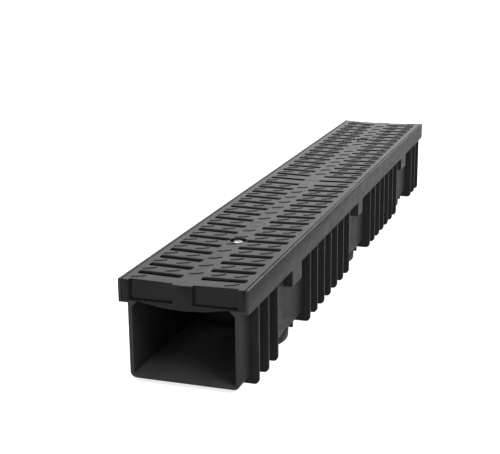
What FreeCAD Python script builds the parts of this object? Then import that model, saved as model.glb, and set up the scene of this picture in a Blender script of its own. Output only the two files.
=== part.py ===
import FreeCAD, Part
import os
import re
from collections import namedtuple

import Sketcher

# Drainage channel: a moulded plastic trough with ribs and round outlet sockets outside, and
# two slotted gratings that lie on its ledges and are bolted to fixing strips in side pockets.
# X runs across the channel, Y along it and Z up. The origin is on the ground, under the
# middle of the channel. All sizes are in millimetres.

SIZES = {
    # The channel and its rim
    "channel_length": 1000.0,
    "channel_width": 145.0,
    "channel_height": 115.0,
    "lip_thickness": 3.3,
    "lip_edge": 0.8,
    "rim_depth": 26.0,
    "seat_depth": 23.5,
    "ledge_opening": 104.0,
    "ledge_edge": 0.8,
    # The trough under the rim
    "trough_width": 124.0,
    "wall_thickness": 4.5,
    "foot_height": 4.7,
    "floor_thickness": 4.5,
    "corner_cut": 6.7,
    "inner_corner_radius": 2.0,
    "end_stretch": 33.3,
    "end_corner_radius": 7.0,
    # The ribs round the trough
    "rib_pitch": 33.333,
    "rib_thickness": 3.0,
    "rib_corner": 4.5,
    # The outlet sockets under the floor, and the small webs beside them
    "outlet_spacing": 333.333,
    "socket_foot_radius": 61.6,
    "socket_top_radius": 63.0,
    "socket_height": 69.0,
    "socket_wall": 4.7,
    "socket_depth": 5.5,
    "web_width": 119.8,
    "web_foot": 3.0,
    # The side pockets that take the fixing strips
    "pocket_length": 38.0,
    "middle_pocket_length": 25.0,
    "pocket_depth": 20.5,
    "pocket_step": 0.3,
    "pocket_wall": 3.0,
    "pocket_roof": 7.5,
    # The gratings
    "grating_clearance": 0.5,
    "end_clearance": 0.5,
    "grating_drop": 0.2,
    "grating_edge": 0.8,
    "dish_depth": 1.5,
    "deck_thickness": 4.5,
    "belly_width": 102.0,
    "belly_drop": 6.1,
    "slot_pitch": 29.41,
    "slot_width": 8.3,
    "slot_rib": 3.0,
    "rail_width": 8.1,
    "centre_web": 22.6,
    "end_recess": 4.2,
    "end_flange": 1.0,
    # The fixings
    "boss_diameter": 22.2,
    "bolt_recess": 20.4,
    "bolt_recess_depth": 7.0,
    "bolt_diameter": 8.0,
    "bolt_length": 40.0,
    "bolt_hole_clearance": 1.0,
    "head_diameter": 13.2,
    "head_height": 4.4,
    "socket_key": 5.0,
    "socket_key_depth": 2.6,
    "washer_diameter": 16.0,
    "washer_thickness": 1.6,
    "washer_clearance": 0.4,
    "strip_width": 20.0,
    "strip_thickness": 6.0,
    "strip_end_clearance": 1.0,
    "nut_key": 13.0,
    "nut_height": 6.5,
    "thread_clearance": 0.1,
}

# Counts of what repeats, and how many slot pitches the bolt lies from its grating's middle
OUTLETS = 3
END_RIBS = 3
MIDDLE_RIBS = 7
BELLY_CHORDS = 4
BOLT_PITCHES = 2.5

# Heights, half widths and places that several pieces share
RIM_FOOT = "(channel_height - rim_depth)"
SEAT = "(channel_height - seat_depth)"
RIM_HALF = "(channel_width / 2)"
RIM_INSIDE = "(channel_width / 2 - lip_thickness)"
TROUGH_HALF = "(trough_width / 2)"
TROUGH_INSIDE = "(trough_width / 2 - wall_thickness)"
FLOOR_TOP = "(foot_height + floor_thickness)"
LEDGE_HALF = "(ledge_opening / 2)"
BEVEL_FOOT = "(" + SEAT + " - ledge_edge - " + TROUGH_INSIDE + " + " + LEDGE_HALF + ")"
POCKET_HALF = "(" + RIM_HALF + " - pocket_step)"
POCKET_INSIDE = "(" + POCKET_HALF + " - pocket_wall)"
POCKET_FOOT = "(" + RIM_FOOT + " - pocket_depth)"
POCKET_CEILING = "(" + SEAT + " - pocket_roof)"
GRATING_HALF = "(" + RIM_INSIDE + " - grating_clearance)"
GRATING_LENGTH = "(channel_length / 2 - 2 * end_clearance)"
GRATING_TOP = "(channel_height - grating_drop)"
GRATING_MIDDLE = "(channel_length / 4)"
DISH_FOOT = "(" + GRATING_TOP + " - dish_depth)"
DECK_FOOT = "(" + DISH_FOOT + " - deck_thickness)"
BELLY_HALF = "(belly_width / 2)"
BELLY_FOOT = "(" + SEAT + " - belly_drop)"
SLOT_INSIDE = "(centre_web / 2)"
SLOT_OUTSIDE = "(" + GRATING_HALF + " - rail_width)"
SLOT_ROWS = "(2 * floor((" + GRATING_LENGTH + " - 2 * end_recess) / slot_pitch / 2))"
BOLT_ROW = "(%s * slot_pitch)" % BOLT_PITCHES
BOLT_PLACE = "(" + GRATING_MIDDLE + " + " + BOLT_ROW + ")"
RECESS_FLOOR = "(" + DISH_FOOT + " - bolt_recess_depth)"
HEAD_FOOT = "(" + RECESS_FLOOR + " + washer_thickness)"
HEAD_TOP = "(" + HEAD_FOOT + " + head_height)"
STRIP_FOOT = "(" + POCKET_CEILING + " - strip_thickness)"

NAME = re.compile(r"[a-z][a-z_]+")

# A corner of an outline: how far across and up it is, the radius of its round if it is a
# square corner with one, and the centre of the arc that runs on from it, if one does.
Corner = namedtuple("Corner", "across up round centre", defaults=("", None))


def tie(text):
    """Turn a sum of size names into an expression that reads the sheet."""
    return NAME.sub(lambda name: ("sizes." if name.group() in SIZES else "") + name.group(), text)


def worth(text):
    """Work out a sum of size names as a number."""
    return float(doc.getObject("sizes").evalExpression(tie(text)))


def make_sheet():
    """Write every driving size into the sheet under its own name."""
    sheet = doc.addObject("Spreadsheet::Sheet", "sizes")
    for row, (name, value) in enumerate(SIZES.items(), start=1):
        sheet.set("A%d" % row, name)
        sheet.set("B%d" % row, str(value))
        sheet.setAlias("B%d" % row, name)
    doc.recompute()


def make_body(label):
    """Start a piece under its own label."""
    body = doc.addObject("PartDesign::Body", label)
    body.Label = label
    return body


def copy_piece(body, label):
    """Copy a finished piece, so that both keep one shape."""
    twin = make_body(label)
    twin.Tip = twin.newObject("PartDesign::FeatureBase", label + "_shape")
    twin.Tip.BaseFeature = body
    return twin


def origin_part(body, role):
    """Find a plane or an axis of a piece's own origin."""
    return next(part for part in body.Origin.OriginFeatures if part.Role == role)


def make_sketch(body, name, role, offset):
    """Start a sketch on an origin plane of the piece, moved along the plane's normal."""
    sketch = body.newObject("Sketcher::SketchObject", name)
    sketch.AttachmentSupport = [(origin_part(body, role), "")]
    sketch.MapMode = "FlatFace"
    sketch.setExpression(".AttachmentOffset.Base.z", tie(offset))
    return sketch


def cross_sketch(body, name, along="0"):
    """Start a sketch of the section, at a place along the channel."""
    return make_sketch(body, name, "XZ_Plane", "-(" + along + ")")


def level_sketch(body, name, height):
    """Start a sketch that looks down on the channel, at a height."""
    return make_sketch(body, name, "XY_Plane", height)


def way_to(corner, other):
    """Give the direction along a square outline as a sign across and a sign up."""
    steps = (worth(other.across) - worth(corner.across), worth(other.up) - worth(corner.up))
    largest = max(abs(step) for step in steps)
    return [round(step / largest) for step in steps]


def moved(corner, across, up):
    """Give the place that lies the corner's round away from it, in signs across and up."""
    return ("(%s + %d * %s)" % (corner.across, across, corner.round),
            "(%s + %d * %s)" % (corner.up, up, corner.round))


def round_off(corners):
    """Replace each corner that has a round by the two ends of its arc."""
    outline = []
    for index, corner in enumerate(corners):
        if not corner.round:
            outline.append(corner)
            continue
        back = way_to(corner, corners[index - 1])
        ahead = way_to(corner, corners[(index + 1) % len(corners)])
        centre = moved(corner, back[0] + ahead[0], back[1] + ahead[1])
        outline.append(Corner(*moved(corner, *back), centre=centre))
        outline.append(Corner(*moved(corner, *ahead)))
    return outline


def place_point(sketch, edge, end, across, up):
    """Hold a point of the sketch at a place across and up."""
    for kind, text in (("DistanceX", across), ("DistanceY", up)):
        if text is not None:
            held = Sketcher.Constraint(kind, -1, 1, edge, end, worth(text))
            sketch.setExpression("Constraints[%d]" % sketch.addConstraint(held), tie(text))


def draw_edge(sketch, corner, start, stop):
    """Draw the line or arc that runs on from a corner, and name its first and last point."""
    if corner.centre is None:
        return sketch.addGeometry(Part.LineSegment(start, stop)), 1, 2
    centre = FreeCAD.Vector(worth(corner.centre[0]), worth(corner.centre[1]), 0)
    turns_left = (start - centre).cross(stop - centre).z > -centre.Length * 1e-9
    first, last = (start, stop) if turns_left else (stop, start)
    circle = Part.Circle(centre, FreeCAD.Vector(0, 0, 1), (start - centre).Length)
    edge = sketch.addGeometry(Part.ArcOfCircle(circle, circle.parameter(first), circle.parameter(last)))
    chord = stop - start
    across, up = corner.centre if abs(chord.x) < abs(chord.y) else (None, corner.centre[1])
    place_point(sketch, edge, 3, across, None if across is not None else up)
    return (edge, 1, 2) if turns_left else (edge, 2, 1)


def trace(sketch, corners):
    """Draw a closed outline whose corners are held at their places."""
    outline = round_off(corners)
    points = [FreeCAD.Vector(worth(corner.across), worth(corner.up), 0) for corner in outline]
    edges = [draw_edge(sketch, corner, start, stop) for corner, start, stop in
             zip(outline, points, points[1:] + points[:1])]
    for index, corner in enumerate(outline):
        edge, first, _ = edges[index]
        before, _, last = edges[index - 1]
        sketch.addConstraint(Sketcher.Constraint("Coincident", before, last, edge, first))
        place_point(sketch, edge, first, corner.across, corner.up)


def ring(sketch, radius, across="0", up="0"):
    """Draw a circle."""
    centre = FreeCAD.Vector(worth(across), worth(up), 0)
    edge = sketch.addGeometry(Part.Circle(centre, FreeCAD.Vector(0, 0, 1), worth(radius)))
    held = sketch.addConstraint(Sketcher.Constraint("Radius", edge, worth(radius)))
    sketch.setExpression("Constraints[%d]" % held, tie(radius))
    place_point(sketch, edge, 3, across, up)


def both_sides(right):
    """Complete a right half, given from the bottom up, with its mirror image."""
    left = [corner._replace(across="-" + corner.across) for corner in reversed(right)
            if corner.across != "0"]
    return right + left


def box(left, right, bottom, top):
    """Give the corners of a rectangle."""
    return [Corner(left, bottom), Corner(right, bottom), Corner(right, top), Corner(left, top)]


def cut_corner(across, up, cut):
    """Give the two ends of the straight cut across a lower right corner."""
    return [Corner("(%s - %s)" % (across, cut), up), Corner(across, "(%s + %s)" % (up, cut))]


def hexagon(key):
    """Give the corners of a hexagon with a width across its flats."""
    tip, half, flat = "(%s / sqrt(3))" % key, "(%s / sqrt(12))" % key, "(%s / 2)" % key
    return [Corner(tip, "0"), Corner(half, flat), Corner("-" + half, flat),
            Corner("-" + tip, "0"), Corner("-" + half, "-" + flat), Corner(half, "-" + flat)]


def add_feature(body, kind, name):
    """Add a feature to a piece; its faces are merged later, when the piece is complete."""
    feature = body.newObject("PartDesign::" + kind, name)
    feature.Refine = False
    body.Tip = feature
    return feature


def merge_faces(body):
    """Merge the faces that run on into each other on the finished piece."""
    body.Tip.Refine = True


def extrude(kind, sketch, name, length):
    """Pad or pocket a sketch, half of the length to each side of it."""
    feature = add_feature(sketch.getParentGeoFeatureGroup(), kind, name)
    feature.Profile = sketch
    feature.SideType = "Symmetric"
    feature.setExpression("Length", tie(length))
    return feature


def turn(sketch, name):
    """Turn a sketch once round the upright axis."""
    feature = add_feature(sketch.getParentGeoFeatureGroup(), "Revolution", name)
    feature.Profile = sketch
    feature.ReferenceAxis = (sketch, ["V_Axis"])
    feature.Angle = 360


def repeat(feature, name, count, spacing):
    """Repeat a feature along the channel, as often as a number or a sum of sizes says."""
    body = feature.getParentGeoFeatureGroup()
    pattern = add_feature(body, "LinearPattern", name)
    pattern.Originals = [feature]
    pattern.Direction = (origin_part(body, "Y_Axis"), [""])
    pattern.Mode = "Spacing"
    pattern.setExpression("Occurrences", tie(str(count)))
    pattern.setExpression("Offset", tie(spacing))


def slab(body, name, corners, along, length, kind="Pad"):
    """Pad or pocket a symmetric section at a place along the channel."""
    sketch = cross_sketch(body, name + "_section", along)
    trace(sketch, both_sides(corners))
    return extrude(kind, sketch, name, length)


def add_trough(body):
    """Add the outside of the trough and its rim as full blocks."""
    outline = cut_corner(TROUGH_HALF, "foot_height", "corner_cut") + [Corner(TROUGH_HALF, RIM_FOOT)]
    slab(body, "trough", outline, "0", "(channel_length - 2 * end_stretch)")
    ends = [Corner(TROUGH_HALF, "foot_height", "end_corner_radius"), Corner(TROUGH_HALF, RIM_FOOT)]
    for side, sign in (("near", "-"), ("far", "")):
        slab(body, side + "_end", ends, sign + "(channel_length / 2 - end_stretch / 2)", "end_stretch")
    rim = [Corner(RIM_HALF, RIM_FOOT), Corner(RIM_HALF, "channel_height", "lip_edge")]
    slab(body, "rim", rim, "0", "channel_length")


def add_ribs(body):
    """Add the ribs that wrap round the trough, in groups that leave the outlets free."""
    rib = cut_corner(RIM_HALF, "0", "rib_corner") + [Corner(RIM_HALF, RIM_FOOT)]
    reach = "%s * rib_pitch" % ((MIDDLE_RIBS - 1) / 2)
    groups = {
        "near_rib": ("-(channel_length / 2 - rib_pitch)", END_RIBS),
        "near_middle_rib": ("-(outlet_spacing / 2 + " + reach + ")", MIDDLE_RIBS),
        "far_middle_rib": ("(outlet_spacing / 2 - " + reach + ")", MIDDLE_RIBS),
        "far_rib": ("(channel_length / 2 - %d * rib_pitch)" % END_RIBS, END_RIBS),
    }
    for name, (first, count) in groups.items():
        repeat(slab(body, name, rib, first, "rib_thickness"), name + "s", count, "rib_pitch")


def add_outlets(body):
    """Add the round sockets and, beside each, two webs at the trough's cut corners."""
    web = [Corner("(web_width / 2)", "web_foot"),
           Corner("(web_width / 2)", "(foot_height + corner_cut)")]
    for name, sign in (("web_before", "-"), ("web_after", "+")):
        first = "-outlet_spacing %s rib_pitch" % sign
        repeat(slab(body, name, web, first, "rib_thickness"), name + "_outlets", OUTLETS,
               "outlet_spacing")
    socket = add_feature(body, "AdditiveCone", "socket")
    socket.AttachmentSupport = [(origin_part(body, "XY_Plane"), "")]
    socket.MapMode = "FlatFace"
    socket.setExpression(".AttachmentOffset.Base.y", tie("-outlet_spacing"))
    socket.setExpression("Radius1", tie("socket_foot_radius"))
    socket.setExpression("Radius2", tie("socket_top_radius"))
    socket.setExpression("Height", tie("socket_height"))
    repeat(socket, "sockets", OUTLETS, "outlet_spacing")


def add_pocket_boxes(body):
    """Add the boxes under the rim, two for the fixing strips and one in the middle."""
    outline = [Corner(POCKET_HALF, POCKET_FOOT), Corner(POCKET_HALF, RIM_FOOT)]
    slab(body, "near_pocket_box", outline, "-" + BOLT_PLACE, "pocket_length")
    slab(body, "middle_pocket_box", outline, "0", "middle_pocket_length")
    slab(body, "far_pocket_box", outline, BOLT_PLACE, "pocket_length")


def cut_inside(body):
    """Cut the run of the water, the ledges and the space of the gratings in one section."""
    inside = [
        Corner(TROUGH_INSIDE, FLOOR_TOP, "inner_corner_radius"),
        Corner(TROUGH_INSIDE, BEVEL_FOOT),
        Corner(LEDGE_HALF, "(" + SEAT + " - ledge_edge)"),
        Corner(LEDGE_HALF, SEAT),
        Corner(RIM_INSIDE, SEAT),
        Corner(RIM_INSIDE, "(channel_height - lip_edge)"),
        Corner("(" + RIM_INSIDE + " + lip_edge)", "channel_height"),
        Corner("(" + RIM_INSIDE + " + lip_edge)", "(channel_height + lip_edge)"),
    ]
    slab(body, "inside", inside, "0", "(channel_length + end_stretch)", "Pocket")


def cut_pockets(body):
    """Hollow the side pockets and the sockets."""
    cavity = [Corner(POCKET_INSIDE, "(" + POCKET_FOOT + " + pocket_wall)"),
              Corner(POCKET_INSIDE, POCKET_CEILING)]
    for name, along, length in (("near_pocket", "-" + BOLT_PLACE, "pocket_length"),
                                ("middle_pocket", "0", "middle_pocket_length"),
                                ("far_pocket", BOLT_PLACE, "pocket_length")):
        slab(body, name, cavity, along, "(" + length + " - 2 * pocket_wall)", "Pocket")
    sketch = level_sketch(body, "socket_inside_outline", "0")
    ring(sketch, "(socket_foot_radius - socket_wall)", "0", "-outlet_spacing")
    repeat(extrude("Pocket", sketch, "socket_inside", "(2 * socket_depth)"), "socket_insides",
           OUTLETS, "outlet_spacing")


def make_channel():
    """Model the one-piece channel: all outside forms first, then the cuts."""
    body = make_body("channel_body")
    add_trough(body)
    add_ribs(body)
    add_outlets(body)
    add_pocket_boxes(body)
    cut_inside(body)
    cut_pockets(body)
    merge_faces(body)


def add_grating_block(body):
    """Add the grating's block: a dished top, straight seats and a bellied underside."""
    shares = [-1 + 2 * step / BELLY_CHORDS for step in range(BELLY_CHORDS + 1)]
    outline = [Corner("(%s * %s)" % (share, BELLY_HALF), "(%s - belly_drop * %s)" % (SEAT, 1 - share ** 2))
               for share in shares]
    outline += [
        Corner(GRATING_HALF, SEAT),
        Corner(GRATING_HALF, "(" + GRATING_TOP + " - grating_edge)"),
        Corner("(" + GRATING_HALF + " - grating_edge)", GRATING_TOP),
        Corner("0", DISH_FOOT),
        Corner("-(" + GRATING_HALF + " - grating_edge)", GRATING_TOP),
        Corner("-" + GRATING_HALF, "(" + GRATING_TOP + " - grating_edge)"),
        Corner("-" + GRATING_HALF, SEAT),
    ]
    sketch = cross_sketch(body, "block_section")
    trace(sketch, outline)
    extrude("Pad", sketch, "block", GRATING_LENGTH)


def cut_slots(body):
    """Cut the rows of slots, two to a row, right through."""
    first = "((%s - 1) * slot_pitch / 2)" % SLOT_ROWS
    low, high = "(-%s - slot_width / 2)" % first, "(-%s + slot_width / 2)" % first
    sketch = level_sketch(body, "slot_outline", DECK_FOOT)
    trace(sketch, box(SLOT_INSIDE, SLOT_OUTSIDE, low, high))
    trace(sketch, box("-" + SLOT_OUTSIDE, "-" + SLOT_INSIDE, low, high))
    repeat(extrude("Pocket", sketch, "slot_row", "(2 * channel_height)"), "slot_rows", SLOT_ROWS,
           "slot_pitch")


def cut_bars(body):
    """Hollow each bar from below, which leaves a deck on two bellied ribs."""
    first = "(%s * slot_pitch / 2)" % SLOT_ROWS
    half = "((slot_pitch - slot_width) / 2 - slot_rib)"
    sketch = level_sketch(body, "bar_hollow_outline", "0")
    trace(sketch, box("-" + SLOT_OUTSIDE, SLOT_OUTSIDE, "(-%s - %s)" % (first, half),
                      "(-%s + %s)" % (first, half)))
    repeat(extrude("Pocket", sketch, "bar_hollow", "(2 * " + DECK_FOOT + ")"), "bar_hollows",
           "(%s + 1)" % SLOT_ROWS, "slot_pitch")


def cut_ends(body):
    """Cut half a slot into both ends, down to a flange that closes the bottom."""
    foot = "(" + SEAT + " + end_flange)"
    end = "(" + GRATING_LENGTH + " / 2)"
    sketch = level_sketch(body, "end_recess_outline", "(" + GRATING_TOP + ")")
    for sign in ("", "-"):
        for far in ("-", ""):
            across = [sign + SLOT_INSIDE, sign + SLOT_OUTSIDE]
            along = [far + end, far + "(" + end + " - end_recess)"]
            trace(sketch, box(*across, *along))
    extrude("Pocket", sketch, "end_recesses", "(2 * (" + GRATING_TOP + " - " + foot + "))")


def add_bolt_boss(body):
    """Add the boss of the bolt, its recess and its hole."""
    along = "-" + BOLT_ROW
    boss = level_sketch(body, "boss_outline", "((" + BELLY_FOOT + " + " + DECK_FOOT + ") / 2)")
    ring(boss, "(boss_diameter / 2)", "0", along)
    extrude("Pad", boss, "boss", "(" + DECK_FOOT + " - " + BELLY_FOOT + ")")
    recess = level_sketch(body, "bolt_recess_outline", DISH_FOOT)
    ring(recess, "(bolt_recess / 2)", "0", along)
    extrude("Pocket", recess, "bolt_recess", "(2 * bolt_recess_depth)")
    hole = level_sketch(body, "bolt_hole_outline", BELLY_FOOT)
    ring(hole, "((bolt_diameter + bolt_hole_clearance) / 2)", "0", along)
    extrude("Pocket", hole, "bolt_hole", "(2 * channel_height)")


def make_gratings():
    """Model the front grating; the rear one is the same piece turned end for end."""
    front = make_body("grating_front")
    add_grating_block(front)
    cut_slots(front)
    cut_bars(front)
    cut_ends(front)
    add_bolt_boss(front)
    merge_faces(front)
    front.setExpression(".Placement.Base.y", tie("-" + GRATING_MIDDLE))
    rear = copy_piece(front, "grating_rear")
    rear.Placement.Rotation = FreeCAD.Rotation(FreeCAD.Vector(0, 0, 1), 180)
    rear.setExpression(".Placement.Base.y", tie(GRATING_MIDDLE))


def make_bolt(label):
    """Model a bolt with a hexagon socket in its head."""
    body = make_body(label)
    foot = "(" + HEAD_FOOT + " - bolt_length)"
    sketch = cross_sketch(body, "bolt_profile")
    trace(sketch, [
        Corner("0", foot),
        Corner("(bolt_diameter / 2)", foot),
        Corner("(bolt_diameter / 2)", HEAD_FOOT),
        Corner("(head_diameter / 2)", HEAD_FOOT),
        Corner("(head_diameter / 2)", HEAD_TOP),
        Corner("0", HEAD_TOP),
    ])
    turn(sketch, "bolt_blank")
    key = level_sketch(body, "key_outline", HEAD_TOP)
    trace(key, hexagon("socket_key"))
    extrude("Pocket", key, "key_socket", "(2 * socket_key_depth)")
    return body


def make_washer(label):
    """Model the flat washer under the bolt's head."""
    body = make_body(label)
    sketch = level_sketch(body, "washer_outline", "(" + RECESS_FLOOR + " + washer_thickness / 2)")
    ring(sketch, "(washer_diameter / 2)")
    ring(sketch, "((bolt_diameter + washer_clearance) / 2)")
    extrude("Pad", sketch, "washer", "washer_thickness")
    return body


def make_strip(label):
    """Model the flat steel strip whose ends lie in the side pockets."""
    body = make_body(label)
    end = "(" + POCKET_INSIDE + " - strip_end_clearance)"
    sketch = level_sketch(body, "strip_outline", "(" + POCKET_CEILING + " - strip_thickness / 2)")
    trace(sketch, box("-" + end, end, "-(strip_width / 2)", "(strip_width / 2)"))
    ring(sketch, "((bolt_diameter + washer_clearance) / 2)")
    extrude("Pad", sketch, "strip", "strip_thickness")
    return body


def make_nut(label):
    """Model the hexagon nut under the strip."""
    body = make_body(label)
    sketch = level_sketch(body, "nut_outline", "(" + STRIP_FOOT + " - nut_height / 2)")
    trace(sketch, hexagon("nut_key"))
    ring(sketch, "((bolt_diameter + thread_clearance) / 2)")
    extrude("Pad", sketch, "nut", "nut_height")
    return body


def make_fixings():
    """Model the fixings of the front grating's bolt hole, and copy them for the rear one."""
    for make, word in ((make_bolt, "bolt"), (make_washer, "washer"),
                       (make_strip, "fixing_strip"), (make_nut, "nut")):
        front = make(word + "_front")
        front.setExpression(".Placement.Base.y", tie("-" + BOLT_PLACE))
        copy_piece(front, word + "_rear").setExpression(".Placement.Base.y", tie(BOLT_PLACE))


def check_model():
    """Stop if an object failed, a cut removed nothing or a piece isn't one good solid."""
    for thing in doc.Objects:
        if "Invalid" in thing.State or "Error" in thing.State:
            raise RuntimeError("%s failed" % thing.Name)
        if thing.TypeId == "PartDesign::Pocket" and thing.Shape.Volume >= thing.BaseFeature.Shape.Volume:
            raise RuntimeError("%s cuts nothing" % thing.Name)
    for body in pieces():
        if body.Shape.isNull() or not body.Shape.isValid() or len(body.Shape.Solids) != 1:
            raise RuntimeError("%s is not one good solid" % body.Label)


def pieces():
    """List the finished pieces."""
    return [thing for thing in doc.Objects if thing.TypeId == "PartDesign::Body"]


def write_pieces():
    """Write each piece to its own file."""
    os.makedirs("parts", exist_ok=True)
    for body in pieces():
        body.Shape.exportStep(os.path.join("parts", body.Label + ".step"))


doc = FreeCAD.newDocument("drainage_channel")
make_sheet()
make_channel()
make_gratings()
make_fixings()
doc.recompute()
check_model()
write_pieces()
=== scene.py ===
"""Dress a moulded drainage channel: black plastic, slotted gratings and steel fixings.

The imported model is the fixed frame. Each sub-assembly is a class that builds its meshes
around it and gives them their finishes. Lengths are in metres unless a name ends in _mm.
"""

import logging
import math
from collections.abc import Callable
from dataclasses import dataclass
from enum import Enum

import bmesh
import bpy
import numpy as np
from mathutils import Matrix, Vector
from mathutils.geometry import delaunay_2d_cdt


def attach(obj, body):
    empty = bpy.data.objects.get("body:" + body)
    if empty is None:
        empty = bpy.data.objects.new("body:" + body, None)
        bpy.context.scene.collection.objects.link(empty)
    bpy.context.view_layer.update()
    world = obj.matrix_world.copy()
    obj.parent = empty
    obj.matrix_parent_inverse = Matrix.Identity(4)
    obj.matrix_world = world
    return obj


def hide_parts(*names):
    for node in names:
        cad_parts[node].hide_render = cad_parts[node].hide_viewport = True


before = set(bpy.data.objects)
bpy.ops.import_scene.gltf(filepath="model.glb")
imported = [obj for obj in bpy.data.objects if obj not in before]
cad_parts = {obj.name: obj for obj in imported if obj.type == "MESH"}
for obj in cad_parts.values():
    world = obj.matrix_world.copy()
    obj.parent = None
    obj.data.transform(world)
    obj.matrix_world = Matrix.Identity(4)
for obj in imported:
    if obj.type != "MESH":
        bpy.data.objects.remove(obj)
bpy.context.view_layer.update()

LOG = logging.getLogger("drainage_channel")
MM = 0.001
MERGE_MM = 0.002
SAME_PLACE_MM = 0.05
FLAT_DEGREES = 0.4
FILL_INSIDE = 1
FILL_MERGE_MM = 0.0002
RIDGE_STEPS = 7
RIDGE_SINK_MM = 0.15
WHITE = (1.0, 1.0, 1.0, 1.0)

Surface = tuple[np.ndarray, list[list[int]]]
EdgeRule = Callable[[bmesh.types.BMEdge], bool]
Corners = tuple[tuple[float, float], ...]


class Slot(Enum):
    """The record's material slots."""

    CHANNEL = "channel_plastic"
    GRATING = "grating_plastic"
    STEEL = "fixing_steel"


class End(Enum):
    """The two halves of the channel, with the sign of their side of the origin."""

    FRONT = -1
    REAR = 1

    def node(self, kind: str) -> str:
        """Return the name of this half's node of a kind."""
        return f"{kind}_{self.name.lower()}"


class Nodes:
    """A small helper that adds and joins the nodes of one tree."""

    def __init__(self, tree: bpy.types.NodeTree) -> None:
        """Start with an empty tree.

        Args:
            tree: The tree that the nodes go into.
        """
        self.tree = tree
        tree.nodes.clear()

    def add(self, kind: str, **inputs: object) -> bpy.types.Node:
        """Add a node and fill its inputs.

        Args:
            kind: The node's type, without the words ShaderNode in front.
            inputs: Values or sockets by input name, with an underscore for a space.

        Returns:
            The new node.
        """
        node = self.tree.nodes.new("ShaderNode" + kind)
        for name, value in inputs.items():
            self.feed(node.inputs[name.replace("_", " ")], value)
        return node

    def feed(self, target: bpy.types.NodeSocket, value: object) -> None:
        """Give an input a value, or a link if the value is an output.

        Args:
            target: The input.
            value: A plain value, or the output of another node.
        """
        if isinstance(value, bpy.types.NodeSocket):
            self.tree.links.new(value, target)
        else:
            target.default_value = value

    def math(self, operation: str, *values: object) -> bpy.types.NodeSocket:
        """Add a math node.

        Args:
            operation: Blender's name of the operation.
            values: The node's inputs, in order.

        Returns:
            The node's result.
        """
        node = self.add("Math")
        node.operation = operation
        for target, value in zip(node.inputs, values):
            self.feed(target, value)
        return node.outputs[0]

    def place(self, scale: tuple[float, float, float] = (1.0, 1.0, 1.0)) -> bpy.types.NodeSocket:
        """Return the object coordinates, stretched along each axis."""
        coordinates = self.add("TexCoord").outputs["Object"]
        return self.add("Mapping", Vector=coordinates, Scale=scale).outputs["Vector"]

    def noise(self, place: bpy.types.NodeSocket, scale: float = 1.0,
              detail: float = 3.0) -> bpy.types.NodeSocket:
        """Add a noise texture and return its grey output."""
        return self.add("TexNoise", Vector=place, Scale=scale, Detail=detail).outputs["Fac"]

    def spread(self, value: bpy.types.NodeSocket, ends: tuple[float, float],
               span: tuple[float, float] = (0.3, 0.7)) -> bpy.types.NodeSocket:
        """Map a value's range, by default a noise's middle, to the range between two ends."""
        return self.add("MapRange", Value=value, From_Min=span[0], From_Max=span[1],
                        To_Min=ends[0], To_Max=ends[1]).outputs["Result"]

    def finish(self, kind: str, surface: bpy.types.NodeSocket) -> None:
        """Send a surface to an output node."""
        self.feed(self.add(kind).inputs["Surface"], surface)


@dataclass(frozen=True)
class WearAndPaintedLight:
    """A lighter tone on the faces square to one axis, within a span of distances along it, which is
    wear and dust in some zones and painted light in others.

    Its share grows from 0 to 1 as the part of a face's normal along the axis goes through
    facing, and the plastic's clouds vary it between the two numbers of patchy.
    """

    axis: str
    span: tuple[float, float]
    tone: float
    facing: tuple[float, float] = (0.4, 0.9)
    patchy: tuple[float, float] = (0.5, 1.0)


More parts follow.
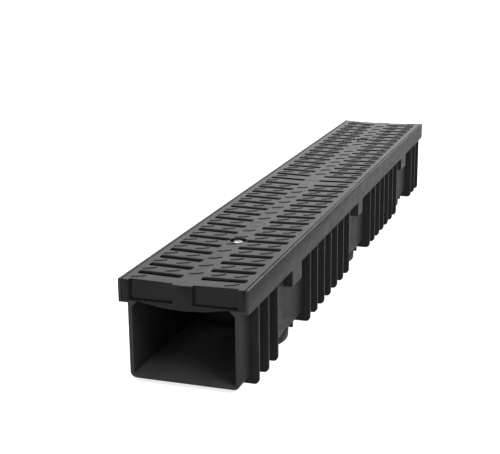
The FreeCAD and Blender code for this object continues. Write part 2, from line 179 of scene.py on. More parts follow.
@dataclass(frozen=True)
class MouldedPlastic:
    """Black moulded plastic: clouds and flow streaks in its tone, fine pits, and lighter faces for
    wear and dust and for painted light.
    """

    name: str
    dark: float
    light: float
    rough: tuple[float, float]
    specular: float
    grain_mm: float
    wear_and_painted_light: tuple[WearAndPaintedLight, ...]
    warmth: tuple[float, float, float] = (1.0, 1.0, 1.04)
    streak_scale: tuple[float, float, float] = (260.0, 40.0, 160.0)
    streak_share: float = 0.4
    cloud_scale: float = 45.0
    pit_scale: float = 1500.0
    pit_detail: float = 2.0
    pit_strength: float = 0.5

    def tint(self, grey: float) -> tuple[float, float, float, float]:
        """Return a grey with the plastic's faint hue."""
        return (*(grey * share for share in self.warmth), 1.0)

    def lay_wear_and_painted_light(self, nodes: Nodes, colour: bpy.types.NodeSocket,
             tone: bpy.types.NodeSocket) -> bpy.types.NodeSocket:
        """Lay the lighter zones, of wear and dust and of painted light, over the plastic's own
        colour.

        Args:
            nodes: The material's nodes.
            colour: The plastic's own colour.
            tone: The clouds and streaks, which make the lighter tone patchy.

        Returns:
            The colour with its lighter zones.
        """
        split = nodes.add("SeparateXYZ", Vector=nodes.place()).outputs
        normal = nodes.add("SeparateXYZ", Vector=nodes.add("NewGeometry").outputs["Normal"]).outputs
        for zone in self.wear_and_painted_light:
            reach = nodes.math("ABSOLUTE", split[zone.axis])
            within = nodes.math("MULTIPLY", nodes.math("GREATER_THAN", reach, zone.span[0]),
                                nodes.math("LESS_THAN", reach, zone.span[1]))
            square = nodes.spread(nodes.math("ABSOLUTE", normal[zone.axis]), (0.0, 1.0), zone.facing)
            patches = nodes.math("MULTIPLY", square, nodes.spread(tone, zone.patchy))
            share = nodes.math("MULTIPLY", within, patches)
            colour = nodes.add("MixRGB", Fac=share, Color1=colour,
                               Color2=self.tint(zone.tone)).outputs["Color"]
        return colour

    def build(self) -> bpy.types.Material:
        """Make the material.

        Returns:
            A material that reads object coordinates and the faces' normals.
        """
        material = bpy.data.materials.new(self.name)
        material.use_nodes = True
        nodes = Nodes(material.node_tree)
        place = nodes.place()
        streaks = nodes.noise(nodes.place(self.streak_scale))
        clouds = nodes.noise(place, self.cloud_scale)
        pits = nodes.noise(place, self.pit_scale, self.pit_detail)
        streaky = nodes.math("MULTIPLY", streaks, self.streak_share)
        tone = nodes.math("MULTIPLY_ADD", clouds, 1.0 - self.streak_share, streaky)
        ramp = nodes.add("ValToRGB", Fac=nodes.spread(tone, (0.0, 1.0)))
        ramp.color_ramp.elements[0].color = self.tint(self.dark)
        ramp.color_ramp.elements[1].color = self.tint(self.light)
        bump = nodes.add("Bump", Height=pits, Strength=self.pit_strength, Distance=self.grain_mm * MM)
        shader = nodes.add("BsdfPrincipled", Base_Color=self.lay_wear_and_painted_light(nodes, ramp.outputs["Color"], tone),
                           Roughness=nodes.spread(streaks, self.rough), Normal=bump.outputs[0],
                           Specular_IOR_Level=self.specular)
        nodes.finish("OutputMaterial", shader.outputs[0])
        return material


@dataclass(frozen=True)
class Steel:
    """Steel with fine turning marks and a soft stain."""

    name: str
    colour: tuple[float, float, float]
    roughness: tuple[float, float]
    mark_scale: tuple[float, float, float] = (900.0, 900.0, 4000.0)
    stain_scale: float = 240.0
    mark_mm: float = 0.02
    mark_strength: float = 0.3

    def build(self) -> bpy.types.Material:
        """Make the material.

        Returns:
            A metal material that reads object coordinates only.
        """
        material = bpy.data.materials.new(self.name)
        material.use_nodes = True
        nodes = Nodes(material.node_tree)
        marks = nodes.noise(nodes.place(self.mark_scale))
        stain = nodes.noise(nodes.place(), self.stain_scale)
        bump = nodes.add("Bump", Height=marks, Strength=self.mark_strength,
                         Distance=self.mark_mm * MM)
        shader = nodes.add("BsdfPrincipled", Base_Color=(*self.colour, 1.0), Metallic=1.0,
                           Roughness=nodes.spread(stain, self.roughness), Normal=bump.outputs[0])
        nodes.finish("OutputMaterial", shader.outputs[0])
        return material


def node_box(node: str) -> tuple[Vector, Vector]:
    """Return the low and the high corner of a CAD node.

    Args:
        node: The CAD node.

    Returns:
        Both corners, in metres.
    """
    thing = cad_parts[node]
    corners = np.array([thing.matrix_world @ Vector(corner) for corner in thing.bound_box])
    return Vector(corners.min(axis=0)), Vector(corners.max(axis=0))


def link(piece: bpy.types.Object, finish: bpy.types.Material,
         replaced: str = "") -> bpy.types.Object:
    """Put a new piece into the scene.

    Args:
        piece: The piece, with its place in its mesh.
        finish: The material.
        replaced: The CAD node that the piece stands for, if there is one.

    Returns:
        The same piece.
    """
    bpy.context.scene.collection.objects.link(piece)
    piece.data.materials.append(finish)
    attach(piece, "root")
    if replaced:
        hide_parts(replaced)
    return piece


def shade_smooth(mesh: bpy.types.Mesh) -> None:
    """Shade every face of a mesh smooth."""
    mesh.polygons.foreach_set("use_smooth", np.ones(len(mesh.polygons), dtype=bool))


def piece_from(name: str, surfaces: list[Surface]) -> bpy.types.Object:
    """Make one smooth piece from closed surfaces.

    Args:
        name: The name of the new piece.
        surfaces: The points and the faces of each surface, whose faces point outwards.

    Returns:
        A piece that isn't in the scene yet.
    """
    points, faces = [], []
    for own_points, own_faces in surfaces:
        faces += [[index + len(points) for index in face] for face in own_faces]
        points += own_points.tolist()
    mesh = bpy.data.meshes.new(name)
    mesh.from_pydata(points, [], faces)
    shade_smooth(mesh)
    return bpy.data.objects.new(name, mesh)


def merged_copy(node: str, name: str) -> bpy.types.Object:
    """Copy a CAD node's mesh, join its loose triangles and merge what is flat.

    Args:
        node: The CAD node.
        name: The name of the new piece.

    Returns:
        A piece that isn't in the scene yet.
    """
    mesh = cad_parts[node].data.copy()
    mesh.name = name
    work = bmesh.new()
    work.from_mesh(mesh)
    bmesh.ops.remove_doubles(work, verts=work.verts, dist=MERGE_MM * MM)
    flat = math.radians(FLAT_DEGREES)
    bmesh.ops.dissolve_limit(work, angle_limit=flat, verts=work.verts, edges=work.edges)
    work.to_mesh(mesh)
    work.free()
    mesh.materials.clear()
    shade_smooth(mesh)
    return bpy.data.objects.new(name, mesh)


def ends_of(edge: bmesh.types.BMEdge) -> np.ndarray:
    """Return the two ends of an edge, in millimetres."""
    return np.array([vertex.co for vertex in edge.verts]) / MM


def round_edges(piece: bpy.types.Object, chosen: EdgeRule, width_mm: float, steps: int) -> None:
    """Round some edges of a copied mesh with a wide round.

    Args:
        piece: The copy.
        chosen: Tells whether an edge is rounded.
        width_mm: How far the round reaches from the edge.
        steps: How many faces make the round.
    """
    work = bmesh.new()
    work.from_mesh(piece.data)
    edges = [edge for edge in work.edges if chosen(edge)]
    bmesh.ops.bevel(work, geom=edges, offset=width_mm * MM, offset_type="OFFSET", segments=steps,
                    profile=0.5, affect="EDGES", clamp_overlap=False)
    bmesh.ops.remove_doubles(work, verts=work.verts, dist=MERGE_MM * MM)
    work.to_mesh(piece.data)
    work.free()
    LOG.info("%s has %d wide rounds", piece.name, len(edges))


def loops_of(edges: list[bmesh.types.BMEdge]) -> list[list[bmesh.types.BMVert]]:
    """Find the closed loops that some edges form, in an order that is the same each run.

    Args:
        edges: The edges.

    Returns:
        The vertices of each closed loop, in order. A chain that stays open is left out.
    """
    left, loops = dict.fromkeys(edges), []
    while left:
        edge, _ = left.popitem()
        loop = list(edge.verts)
        while onward := next((other for other in loop[-1].link_edges if other in left), None):
            del left[onward]
            loop.append(onward.other_vert(loop[-1]))
        if loop[0] == loop[-1]:
            loops.append(loop[:-1])
    return loops


def neighbours(ring: list) -> list[tuple]:
    """Pair each item of a closed ring with the next one."""
    return list(zip(ring, ring[1:] + ring[:1]))


def fill(work: bmesh.types.BMesh, outline: list[bmesh.types.BMEdge],
         holes: list[list[bmesh.types.BMEdge]]) -> None:
    """Fill a level outline with flat triangles, and leave out the holes in it.

    Args:
        work: The mesh.
        outline: The edges of the outline.
        holes: The edges of each hole. A hole has no hollow side, so each triangle between
            three of its own corners lies inside it.
    """
    edges = outline + [edge for hole in holes for edge in hole]
    corners = list(dict.fromkeys(vertex for edge in edges for vertex in edge.verts))
    numbers = {vertex: number for number, vertex in enumerate(corners)}
    pairs = [[numbers[vertex] for vertex in edge.verts] for edge in edges]
    places = [vertex.co.xy for vertex in corners]
    filled = delaunay_2d_cdt(places, pairs, [], FILL_INSIDE, FILL_MERGE_MM * MM)
    faces, sources = filled[2], filled[3]
    inside = [{vertex for edge in hole for vertex in edge.verts} for hole in holes]
    for face in faces:
        triangle = [corners[sources[number][0]] for number in face]
        if not any(hole.issuperset(triangle) for hole in inside):
            work.faces.new(triangle).smooth = False


def soften(piece: bpy.types.Object, width_mm: float, sharp_degrees: float = 34.0) -> None:
    """Round a piece's sharp edges with a live bevel.

    Blender's clamp stays off, because one short edge would narrow all the rounds of a piece.

    Args:
        piece: The piece.
        width_mm: How far the round reaches from an edge, so little that no two rounds overlap.
        sharp_degrees: The turn between two faces from which their edge is sharp.
    """
    bevel = piece.modifiers.new("edges", "BEVEL")
    bevel.width = width_mm * MM
    bevel.segments = 2
    bevel.limit_method = "ANGLE"
    bevel.angle_limit = math.radians(sharp_degrees)
    bevel.harden_normals = True
    bevel.use_clamp_overlap = False


def ridge(spine: np.ndarray, widths: np.ndarray, heights: np.ndarray,
          closed: bool = False) -> Surface:
    """Sweep a low half-round section along a line on the deck.

    P(i, a) = C(i) + w(i) / 2 cos(a) N(i) + (h(i) sin(a) - s) Z, for a from 0 to pi, where C is
    the line, N is level and square to it, and s sinks the foot into the deck.

    Args:
        spine: The points of the line.
        widths: The width of the section at each point.
        heights: How far it stands proud at each point.
        closed: Whether the line returns to its start.

    Returns:
        The points and the faces, in an order that turns them outwards.
    """
    steps, sink = RIDGE_STEPS, RIDGE_SINK_MM * MM
    if closed:
        ahead = np.roll(spine, -1, axis=0) - np.roll(spine, 1, axis=0)
    else:
        ahead = np.gradient(spine, axis=0)
    aside = np.stack((-ahead[:, 1], ahead[:, 0], np.zeros(len(spine))), axis=1)
    aside /= np.linalg.norm(aside, axis=1)[:, None]
    angles = np.linspace(0.0, math.pi, steps)
    across = widths[:, None] / 2 * np.cos(angles)
    points = spine[:, None, :] + across[:, :, None] * aside[:, None, :]
    points[:, :, 2] += heights[:, None] * np.sin(angles) - sink
    count = len(spine)
    faces = [[i * steps + j, i * steps + (j + 1) % steps, (i + 1) % count * steps + (j + 1) % steps,
              (i + 1) % count * steps + j] for i in range(count if closed else count - 1)
             for j in range(steps)]
    if not closed:
        faces += [list(range(steps))[::-1], list(range((count - 1) * steps, count * steps))]
    return points.reshape(-1, 3), faces


def lathe(profile: list[np.ndarray], heights: list[float]) -> Surface:
    """Stack rings round the Z axis into a closed surface.

    P(i, j) = (r(i, j) cos(t(j)), r(i, j) sin(t(j)), z(i)), with t from 0 to 2 pi.

    Args:
        profile: The radius of each ring at each of its points.
        heights: The height of each ring.

    Returns:
        The points and the faces, with flat ends, in an order that turns them outwards where
        the profile runs up the outside and down the inside.
    """
    around = len(profile[0])
    turns = np.linspace(0.0, 2 * math.pi, around, endpoint=False)
    points = np.concatenate([np.stack((radii * np.cos(turns), radii * np.sin(turns),
                                       np.full(around, height)), axis=1)
                             for radii, height in zip(profile, heights)])
    faces = [[i * around + j, i * around + (j + 1) % around, (i + 1) * around + (j + 1) % around,
              (i + 1) * around + j] for i in range(len(profile) - 1) for j in range(around)]
    last = (len(profile) - 1) * around
    faces += [list(range(around))[::-1], list(range(last, last + around))]
    return points, faces


@dataclass(frozen=True)
class LowerCorner:
    """A lower corner, the same on both sides, that the CAD model cuts off straight."""

    half_mm: float
    foot_mm: float
    cut_mm: float
    round_mm: float

    def square(self) -> Corners:
        """Return the corner without its cut, across and up."""
        return ((self.half_mm, self.foot_mm),)

    def cut(self) -> Corners:
        """Return both ends of the cut, across and up."""
        return (self.half_mm - self.cut_mm, self.foot_mm), (self.half_mm, self.foot_mm + self.cut_mm)


@dataclass
class Channel:
    """The one-piece channel, whose cut lower corners are rounded here.

    Its edges get a fine round, which stays under half its shortest edge of 0.11 mm.
    """

    finish: bpy.types.Material
    node: str = "channel_body"
    edge_mm: float = 0.045
    trough: LowerCorner = LowerCorner(half_mm=62.0, foot_mm=4.7, cut_mm=6.7, round_mm=4.4)
    rib: LowerCorner = LowerCorner(half_mm=72.5, foot_mm=0.0, cut_mm=4.5, round_mm=5.6)
    steps: int = 4

    def at(self, corners: Corners, place: np.ndarray) -> bool:
        """Tell whether a place, in millimetres, is at one of these distances across and up."""
        return any(max(abs(abs(place[0]) - across), abs(place[2] - up)) < SAME_PLACE_MM
                   for across, up in corners)

    def along(self, corners: Corners) -> EdgeRule:
        """Choose the edges that run along the channel at one of these distances across and up."""
        return lambda edge: all(self.at(corners, place) for place in ends_of(edge)) and np.ptp(
            ends_of(edge), axis=0)[[0, 2]].max() < SAME_PLACE_MM

    def square_ribs(self, piece: bpy.types.Object) -> None:
        """Fill the straight cuts at the ribs' lower corners, which makes the corners square.

        Args:
            piece: The copy of the channel.
        """
        work = bmesh.new()
        work.from_mesh(piece.data)
        cut = self.rib.cut()
        moved = [vertex for vertex in work.verts if self.at(cut, np.array(vertex.co) / MM)]
        for vertex in moved:
            vertex.co.x = math.copysign(self.rib.half_mm * MM, vertex.co.x)
            vertex.co.z = self.rib.foot_mm * MM
        bmesh.ops.remove_doubles(work, verts=moved, dist=MERGE_MM * MM)
        work.to_mesh(piece.data)
        work.free()

    def build(self) -> list[bpy.types.Object]:
        """Copy the channel, round its corners and edges and dress it.

        Returns:
            The piece that stands for the channel.
        """
        piece = merged_copy(self.node, "channel_moulding")
        self.square_ribs(piece)
        round_edges(piece, self.along(self.rib.square()), self.rib.round_mm, self.steps)
        round_edges(piece, self.along(self.trough.cut()), self.trough.round_mm, self.steps)
        soften(piece, self.edge_mm)
        return [link(piece, self.finish, self.node)]


@dataclass(frozen=True)
class StrokeSizes:
    """The raised anti-slip strokes, seen from above on the front grating.

    Each starts with a short thick part across the bar and goes on as a thin line that bends
    towards the far side. A higher thick_power ends the thick part more suddenly, and a higher
    end_power keeps the stroke high nearer to its ends, where end_share of the height is left.
    """

    starts_mm: tuple[float, ...] = (-62.7, -35.5, -9.0, 16.4, 41.8)
    length_mm: float = 15.3
    before_mm: float = 2.8
    rise_mm: float = 7.6
    bend_from: float = 0.3
    bend_power: float = 1.4
    thin_mm: float = 1.3
    thick_mm: float = 3.4
    thick_share: float = 0.3
    thick_power: int = 4
    end_power: int = 10
    end_share: float = 0.1
    height_mm: float = 0.95
    points: int = 14


@dataclass
class Grating:
    """One grating, with round lips on its slots, raised strokes and the ring of its mark.

    A face is part of the deck if its normal's upward part is within level_limit of 1 and its
    middle lies within deck_band_mm of the top. Two sides of a slot's outline make one straight
    side if the product of their normals is over straight_limit.
    """

    end: End
    finish: bpy.types.Material
    stroke_finish: bpy.types.Material
    strokes: StrokeSizes = StrokeSizes()
    edge_mm: float = 0.3
    slot_ends_mm: tuple[float, float] = (11.3, 60.6)
    slot_round_mm: float = 2.6
    lip_reach_mm: tuple[float, float] = (0.7, 2.4)
    lip_depth_mm: float = 6.0
    lip_steps: int = 5
    level_limit: float = 0.1
    straight_limit: float = 0.5
    deck_band_mm: float = 3.0
    bar_pitch_mm: float = 29.41
    bars_to_end: int = 8
    dish_mm: float = 1.5
    dish_half_mm: float = 67.9
    mark_radius_mm: float = 9.2
    mark_width_mm: float = 1.3
    mark_height_mm: float = 0.35
    mark_points: int = 48

    def deck(self, across: np.ndarray, top: float) -> np.ndarray:
        """Return the height of the dished deck: z = top - d (1 - |x| / h)."""
        return top - self.dish_mm * MM * (1 - np.abs(across) / (self.dish_half_mm * MM))

    def set_down(self, across: np.ndarray, along: np.ndarray) -> np.ndarray:
        """Put a line, drawn from the front grating's middle, on this grating's deck.

        Args:
            across: Places across the grating.
            along: Places along it.

        Returns:
            The points of the line. The rear grating is turned end for end.
        """
        low, high = node_box(self.end.node("grating"))
        turn = -self.end.value
        middle = (low.y + high.y) / 2
        return np.stack((turn * across, middle + turn * along, self.deck(across, high.z)), axis=1)

    def stroke(self, start_mm: float, bar: int) -> Surface:
        """Make one stroke: x = x0 + L t, and y = y0 + R u^p with u the share after the bend.

        Its width is w + v exp(-(t / s)^q), and its height h sqrt(1 - |2 t - 1|^e), or h times
        the end share where that is more.

        Args:
            start_mm: Where it starts, across the grating.
            bar: The bar it is on, counted from the middle.

        Returns:
            The points and the faces.
        """
        sizes = self.strokes
        t = np.linspace(0.0, 1.0, sizes.points)
        after_bend = np.clip((t - sizes.bend_from) / (1 - sizes.bend_from), 0.0, 1.0)
        across = (start_mm + sizes.length_mm * t) * MM
        rise = sizes.rise_mm * after_bend ** sizes.bend_power
        along = (bar * self.bar_pitch_mm - sizes.before_mm + rise) * MM
        thick = np.exp(-(t / sizes.thick_share) ** sizes.thick_power)
        widths = (sizes.thin_mm + sizes.thick_mm * thick) * MM
        full = np.sqrt(np.clip(1 - np.abs(2 * t - 1) ** sizes.end_power, 0.0, 1.0))
        heights = sizes.height_mm * MM * np.maximum(full, sizes.end_share)
        return ridge(self.set_down(across, along), widths, heights)

    def bare(self, bar: int, column: int) -> bool:
        """Tell whether a bar has no stroke in a column: at the mark and between the end strokes.

        Args:
            bar: The bar, counted from the middle.
            column: The stroke's place in its row.

        Returns:
            Whether the place is bare.
        """
        last = len(self.strokes.starts_mm) - 1
        if abs(bar) == self.bars_to_end:
            return 0 < column < last
        return bar == 0 and column == last // 2

    def mark(self) -> Surface:
        """Make the round mark's ring: x = r cos(t), y = r sin(t).

        Returns:
            The points and the faces.
        """
        turns = np.linspace(0.0, 2 * math.pi, self.mark_points, endpoint=False)
        radius = self.mark_radius_mm * MM
        line = self.set_down(radius * np.cos(turns), radius * np.sin(turns))
        return ridge(line, np.full(self.mark_points, self.mark_width_mm * MM),
                     np.full(self.mark_points, self.mark_height_mm * MM), closed=True)

    def in_slot_span(self, edge: bmesh.types.BMEdge) -> bool:
        """Tell whether an edge lies between the inner and the outer ends of the slots.

        Args:
            edge: An edge on the deck's border.

        Returns:
            Whether both its ends do.
        """
        across = np.abs(ends_of(edge)[:, 0])
        inner, outer = self.slot_ends_mm
        return across.min() > inner - SAME_PLACE_MM and across.max() < outer + SAME_PLACE_MM

    def ring_points(self, outline: np.ndarray, turn: float) -> list[np.ndarray]:
        """Return the points of one ring of a lip, grouped by the outline's points.

        A straight side moves outwards by a (1 - cos u), and a corner becomes an arc
        C + r (cos(t) M + sin(t) N), for t from 0 to pi / 2, with r = c sin u + a (1 - cos u).
        M and N point outwards from the sides before and after it, a is the reach and c the
        radius of a slot's corner.

        Args:
            outline: The slot's outline from above, in order.
            turn: The angle u, from 0 at the wall to pi / 2 at the deck.

        Returns:
            One point for a point on a straight side, and an arc for a corner.
        """
        middle = outline.mean(axis=0)
        after = np.roll(outline, -1, axis=0) - outline
        normals = np.stack((after[:, 1], -after[:, 0]), axis=1)
        normals /= np.linalg.norm(normals, axis=1)[:, None]
        normals *= np.sign((normals * (outline - middle)).sum(axis=1))[:, None]
        grown = np.array(self.lip_reach_mm) * MM * (1 - math.cos(turn))
        radii = self.slot_round_mm * MM * math.sin(turn) + grown
        arc = np.linspace(0.0, math.pi / 2, self.lip_steps)[:, None]
        groups = []
        for place, before, behind in zip(outline, np.roll(normals, 1, axis=0), normals):
            if before @ behind > self.straight_limit:
                groups.append((place + before * grown)[None, :])
                continue
            centre = place + (before + behind) * (grown - radii)
            groups.append(centre + radii * (np.cos(arc) * before + np.sin(arc) * behind))
        return groups

    def lip(self, work: bmesh.types.BMesh, loop: list[bmesh.types.BMVert],
            top: float) -> list[bmesh.types.BMEdge]:
        """Round the deck into one slot, from the wall's lowered top out to the deck.

        Args:
            work: The mesh.
            loop: The slot's outline on the deck, in order.
            top: The height of the deck's outer edge.

        Returns:
            The edges of the outermost ring.
        """
        outline = np.array([vertex.co[:2] for vertex in loop])
        for vertex, height in zip(loop, self.deck(outline[:, 0], top)):
            vertex.co.z = height - self.lip_depth_mm * MM
        rings = []
        for turn in np.linspace(0.0, math.pi / 2, self.lip_steps + 1)[1:]:
            drop = self.lip_depth_mm * MM * (1 - math.sin(turn))
            rings.append([[work.verts.new((*point, self.deck(point[0], top) - drop))
                           for point in group] for group in self.ring_points(outline, turn)])
        for (corner, after), (group, onward) in zip(neighbours(loop), neighbours(rings[0])):
            for one, other in zip(group, group[1:]):
                work.faces.new((corner, one, other)).smooth = True
            work.faces.new((corner, group[-1], onward[0], after)).smooth = True
        whole = [[vertex for group in ring for vertex in group] for ring in rings]
        for ring, wider in zip(whole, whole[1:]):
            for (one, other), (near, far) in zip(neighbours(ring), neighbours(wider)):
                work.faces.new((one, other, far, near)).smooth = True
        return [work.edges.get(pair) for pair in neighbours(whole[-1])]

    def round_lips(self, piece: bpy.types.Object) -> None:
        """Round the deck into all its slots and fill each half of the deck anew.

        Args:
            piece: The copy of the grating.
        """
        top = node_box(self.end.node("grating"))[1].z
        work = bmesh.new()
        work.from_mesh(piece.data)
        work.normal_update()
        lowest = top - self.deck_band_mm * MM
        deck = [face for face in work.faces if face.normal.z > 1 - self.level_limit
                and face.calc_center_median().z > lowest]
        halves = [{face for face in deck if face.calc_center_median().x * side > 0}
                  for side in (-1, 1)]
        bounds = [[edge for edge in work.edges if len(half.intersection(edge.link_faces)) == 1]
                  for half in halves]
        inside = [edge for edge in work.edges
                  if any(half.issuperset(edge.link_faces) for half in halves)]
        bmesh.ops.delete(work, geom=deck, context="FACES_ONLY")
        bmesh.ops.delete(work, geom=inside, context="EDGES")
        for bound in bounds:
            loops = loops_of([edge for edge in bound if self.in_slot_span(edge)])
            outlines = {vertex for loop in loops for vertex in loop}
            rims = [edge for edge in bound if not outlines.issuperset(edge.verts)]
            fill(work, rims, [self.lip(work, loop, top) for loop in loops])
        bmesh.ops.recalc_face_normals(work, faces=work.faces)
        work.to_mesh(piece.data)
        work.free()

    def build(self) -> list[bpy.types.Object]:
        """Copy the grating, round its edges, dress it and add its strokes.

        Returns:
            The moulding and its raised strokes.
        """
        node = self.end.node("grating")
        moulding = merged_copy(node, node + "_moulding")
        self.round_lips(moulding)
        soften(moulding, self.edge_mm)
        surfaces = [self.mark()]
        for bar in range(-self.bars_to_end, self.bars_to_end + 1):
            surfaces += [self.stroke(start, bar)
                         for column, start in enumerate(self.strokes.starts_mm)
                         if not self.bare(bar, column)]
        strokes = piece_from(node + "_strokes", surfaces)
        return [link(moulding, self.finish, node),
                link(strokes, self.stroke_finish)]


@dataclass(frozen=True)
class BoltSizes:
    """A button-head bolt."""

    head_mm: float = 13.2
    head_height_mm: float = 4.4
    flat_mm: float = 7.2
    rim_mm: float = 1.2
    key_mm: float = 5.0
    key_depth_mm: float = 2.6
    shank_mm: float = 8.0
    point_mm: float = 0.9
    around: int = 48
    dome_steps: int = 8
    edge_mm: float = 0.15


@dataclass
class Fixings:
    """The bolts, washers, strips and nuts."""

    bolt_finish: bpy.types.Material
    strip_finish: bpy.types.Material
    sizes: BoltSizes = BoltSizes()
    kept: tuple[str, ...] = ("washer", "fixing_strip", "nut")

    def bolt(self, node: str) -> bpy.types.Object:
        """Make a domed bolt on the place of a plain one.

        The dome is r = f + (h - f) cos(u), z = rim + (top - rim) sin(u), for u from 0 to pi / 2.
        The hexagon of the socket is r(t) = key / 2 / cos((t mod 60) - 30), in degrees.

        Args:
            node: The CAD node of the bolt.

        Returns:
            A piece that isn't in the scene yet.
        """
        sizes = self.sizes
        low, high = node_box(node)
        foot = (low.z - high.z) / MM + sizes.head_height_mm
        circle = np.ones(sizes.around)
        shank, head, flat = sizes.shank_mm / 2, sizes.head_mm / 2, sizes.flat_mm / 2
        rings = [(shank - sizes.point_mm, foot), (shank, foot + sizes.point_mm), (shank, 0.0),
                 (head, 0.0)]
        for u in np.linspace(0.0, math.pi / 2, sizes.dome_steps):
            rings.append((flat + (head - flat) * math.cos(u),
                          sizes.rim_mm + (sizes.head_height_mm - sizes.rim_mm) * math.sin(u)))
        sixth = math.pi / 3
        turns = np.linspace(0.0, 2 * math.pi, sizes.around, endpoint=False)
        hexagon = sizes.key_mm / 2 / np.cos(turns % sixth - sixth / 2)
        profile = [radius * circle for radius, _ in rings] + [hexagon, hexagon]
        heights = [height for _, height in rings] + [sizes.head_height_mm,
                                                     sizes.head_height_mm - sizes.key_depth_mm]
        points, faces = lathe(profile, heights)
        middle = (low + high) / 2
        points = points * MM + np.array((middle.x, middle.y, high.z - sizes.head_height_mm * MM))
        return piece_from(node + "_domed", [(points, faces)])

    def build(self) -> list[bpy.types.Object]:
        """Make the bolts, and give the other steel its finish on the CAD nodes themselves.

        Returns:
            The bolts and the dressed nodes.
        """
        pieces = []
        for end in End:
            bolt = self.bolt(end.node("bolt"))
            soften(bolt, self.sizes.edge_mm)
            pieces.append(link(bolt, self.bolt_finish, end.node("bolt")))
            for kind in self.kept:
                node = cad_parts[end.node(kind)]
                node.data.materials.clear()
                node.data.materials.append(self.strip_finish)
                pieces.append(node)
        return pieces


@dataclass(frozen=True)
class Lamp:
    """A soft square lamp that looks at the middle of the channel."""

    name: str
    place: tuple[float, float, float]
    size: float
    watts: float
    aim: tuple[float, float, float] = (0.0, 0.0, 0.06)

    def build(self) -> None:
        """Hang the lamp."""
        light = bpy.data.lights.new(self.name, "AREA")
        light.size = self.size
        light.energy = self.watts
        lamp = bpy.data.objects.new(self.name, light)
        bpy.context.scene.collection.objects.link(lamp)
        lamp.location = self.place
        lamp.rotation_euler = (Vector(self.aim) - lamp.location).to_track_quat("-Z", "Y").to_euler()


@dataclass
class Studio:
    """A pale floor, a pale room and soft lamps."""

    room_light: float = 0.35
    floor_half: float = 12.0
    floor_gap_mm: float = 0.3
    floor_tone: float = 0.8
    floor_glow: float = 0.8
    lamps: tuple[Lamp, ...] = (
        Lamp("key", (1.8, -1.2, 2.2), 1.6, 50.0),
        Lamp("top", (-0.6, 0.3, 2.8), 1.8, 50.0),
    )

    def seen(self, nodes: Nodes) -> bpy.types.NodeSocket:
        """Tell the rays that see a surface from those that only light.

        Args:
            nodes: The nodes of a material or of the world.

        Returns:
            1 for camera, glossy and transmission rays, and 0 for others.
        """
        rays = nodes.add("LightPath").outputs
        mirrored = nodes.math("MAXIMUM", rays["Is Glossy Ray"], rays["Is Transmission Ray"])
        return nodes.math("MAXIMUM", rays["Is Camera Ray"], mirrored)

    def floor(self) -> bpy.types.Object:
        """Make the floor: white to the camera and to mirrors, and it keeps its shadow.

        Returns:
            The floor.
        """
        material = bpy.data.materials.new("pale_floor")
        material.use_nodes = True
        nodes = Nodes(material.node_tree)
        lit = nodes.add("BsdfDiffuse", Color=(self.floor_tone,) * 3 + (1.0,)).outputs[0]
        glow = nodes.add("Emission", Color=WHITE, Strength=self.floor_glow).outputs[0]
        both = nodes.add("AddShader")
        nodes.feed(both.inputs[0], lit)
        nodes.feed(both.inputs[1], glow)
        self.mix(nodes, lit, both.outputs[0], "OutputMaterial")
        half = self.floor_half
        mesh = bpy.data.meshes.new("floor")
        level = -self.floor_gap_mm * MM
        mesh.from_pydata([(-half, -half, level), (half, -half, level), (half, half, level),
                          (-half, half, level)], [], [(0, 1, 2, 3)])
        mesh.materials.append(material)
        floor = bpy.data.objects.new("floor", mesh)
        bpy.context.scene.collection.objects.link(floor)
        return floor

    def mix(self, nodes: Nodes, hidden: bpy.types.NodeSocket, shown: bpy.types.NodeSocket,
            output: str) -> None:
        """Send one surface to the rays that only light, and another to those that see.

        Args:
            nodes: The nodes of a material or of the world.
            hidden: The surface for the rays that only light.
            shown: The surface for camera, glossy and transmission rays.
            output: The type of the output node.
        """
        mix = nodes.add("MixShader", Fac=self.seen(nodes))
        nodes.feed(mix.inputs[1], hidden)
        nodes.feed(mix.inputs[2], shown)
        nodes.finish(output, mix.outputs[0])

    def room(self) -> None:
        """Make the world: white where it is seen, softer where it only lights."""
        world = bpy.data.worlds.new("room")
        bpy.context.scene.world = world
        world.use_nodes = True
        nodes = Nodes(world.node_tree)
        white = nodes.add("Background", Color=WHITE, Strength=1.0).outputs[0]
        soft = nodes.add("Background", Color=WHITE, Strength=self.room_light).outputs[0]
        self.mix(nodes, soft, white, "OutputWorld")

    def build(self) -> None:
        """Set the floor, the room and the lamps."""
        self.floor()
        self.room()
        for lamp in self.lamps:
            lamp.build()


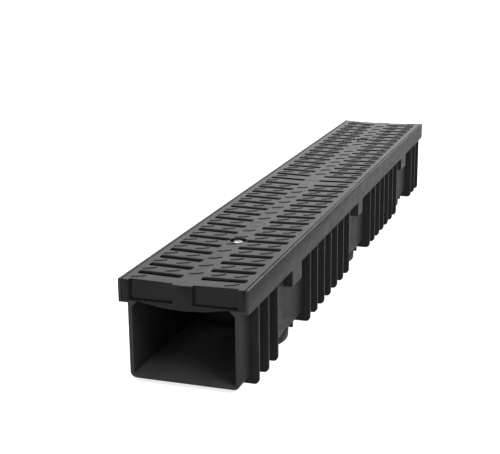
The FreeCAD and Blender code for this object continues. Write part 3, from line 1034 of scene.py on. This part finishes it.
@dataclass(frozen=True)
class PhotoCamera:
    """The photograph's camera, worked out from the channel's edges, slots and ribs."""

    place: tuple[float, float, float] = (0.408260, -1.480231, 0.468426)
    turn: float = 0.32794
    tilt: float = 0.26974
    roll: float = -0.0102
    focal_pixels: float = 1086.091
    frame_pixels: float = 500.0
    sensor_mm: float = 36.0
    clip: tuple[float, float] = (0.01, 100.0)

    def build(self) -> None:
        """Make the camera and use it."""
        data = bpy.data.cameras.new("camera")
        data.sensor_width = self.sensor_mm
        data.lens = self.sensor_mm * self.focal_pixels / self.frame_pixels
        data.clip_start, data.clip_end = self.clip
        camera = bpy.data.objects.new("camera", data)
        bpy.context.scene.collection.objects.link(camera)
        ahead = Vector((-math.sin(self.turn) * math.cos(self.tilt),
                        math.cos(self.turn) * math.cos(self.tilt), -math.sin(self.tilt)))
        level = Vector((math.cos(self.turn), math.sin(self.turn), 0.0))
        upright = level.cross(ahead)
        right = math.cos(self.roll) * level + math.sin(self.roll) * upright
        up = -math.sin(self.roll) * level + math.cos(self.roll) * upright
        turned = Matrix((right, up, -ahead)).transposed().to_4x4()
        camera.matrix_world = Matrix.Translation(self.place) @ turned
        bpy.context.scene.camera = camera


ABOVE_THE_SLOTS = (0.11, 1.0)
AT_THE_ENDS = (0.4998, 1.0)
ON_THE_TROUGH_FLOOR = (0.008, 0.0105)
# The rim's up-facing faces get a tone far lighter than the plastic: partly dust, partly a painted
# sheen that stands in for the gloss of the top faces.
RIM_TOP_DUST_AND_PAINTED_SHEEN = WearAndPaintedLight("Z", ABOVE_THE_SLOTS, 0.17)
# The channel's two end faces get a lighter tone: painted light, which makes them lighter than the
# ribs' faces that look the same way and stand in shade under the rim.
END_FACES_PAINTED_LIGHT = WearAndPaintedLight("Y", AT_THE_ENDS, 0.056)
# The trough's floor gets a lighter tone: painted light, which stands in for the light that falls in
# at the open front end.
TROUGH_FLOOR_PAINTED_LIGHT = WearAndPaintedLight("Z", ON_THE_TROUGH_FLOOR, 0.06)
# The gratings' up-facing faces get a lighter, patchy tone: partly dust and scuffs, partly a painted
# sheen that stands in for the gloss of the deck.
DECK_TOP_DUST_AND_PAINTED_SHEEN = WearAndPaintedLight("Z", ABOVE_THE_SLOTS, 0.058, patchy=(0.3, 1.0))
# The strokes' up-facing faces get a lighter tone, partly dust and partly painted sheen, kept below
# the deck's so that the strokes read darker than the deck, which is painted shade.
STROKE_TOP_DUST_AND_PAINTED_SHEEN = WearAndPaintedLight("Z", ABOVE_THE_SLOTS, 0.028)
CHANNEL_PLASTIC = MouldedPlastic("channel_black", dark=0.020, light=0.025, rough=(0.46, 0.58),
                                 specular=0.046, grain_mm=0.01,
                                 wear_and_painted_light=(RIM_TOP_DUST_AND_PAINTED_SHEEN, END_FACES_PAINTED_LIGHT, TROUGH_FLOOR_PAINTED_LIGHT))
GRATING_PLASTIC = MouldedPlastic("grating_black", dark=0.006, light=0.010, rough=(0.16, 0.26),
                                 specular=0.125, grain_mm=0.05, wear_and_painted_light=(DECK_TOP_DUST_AND_PAINTED_SHEEN,))
# A copy of the grating's plastic for the strokes, rougher and less glossy, with a lower top tone that
# is painted shade.
STROKE_PLASTIC = MouldedPlastic("stroke_black", dark=0.008, light=0.012, rough=(0.3, 0.4),
                                specular=0.08, grain_mm=0.02, wear_and_painted_light=(STROKE_TOP_DUST_AND_PAINTED_SHEEN,))
BOLT_STEEL = Steel("bright_steel", colour=(0.62, 0.62, 0.63), roughness=(0.18, 0.3))
STRIP_STEEL = Steel("grey_steel", colour=(0.3, 0.3, 0.31), roughness=(0.45, 0.6))


def main() -> None:
    """Build the scene in order and report each piece."""
    logging.basicConfig(level=logging.INFO, format="%(name)s: %(message)s")
    bpy.context.scene.view_settings.view_transform = "Standard"
    PhotoCamera().build()
    Studio().build()
    grating, stroke = GRATING_PLASTIC.build(), STROKE_PLASTIC.build()
    assemblies = [Channel(CHANNEL_PLASTIC.build()),
                  Fixings(BOLT_STEEL.build(), STRIP_STEEL.build())]
    assemblies += [Grating(end, grating, stroke) for end in End]
    for assembly in assemblies:
        for piece in assembly.build():
            LOG.info("%s has %d faces", piece.name, len(piece.data.polygons))


if __name__ == "__main__":
    main()
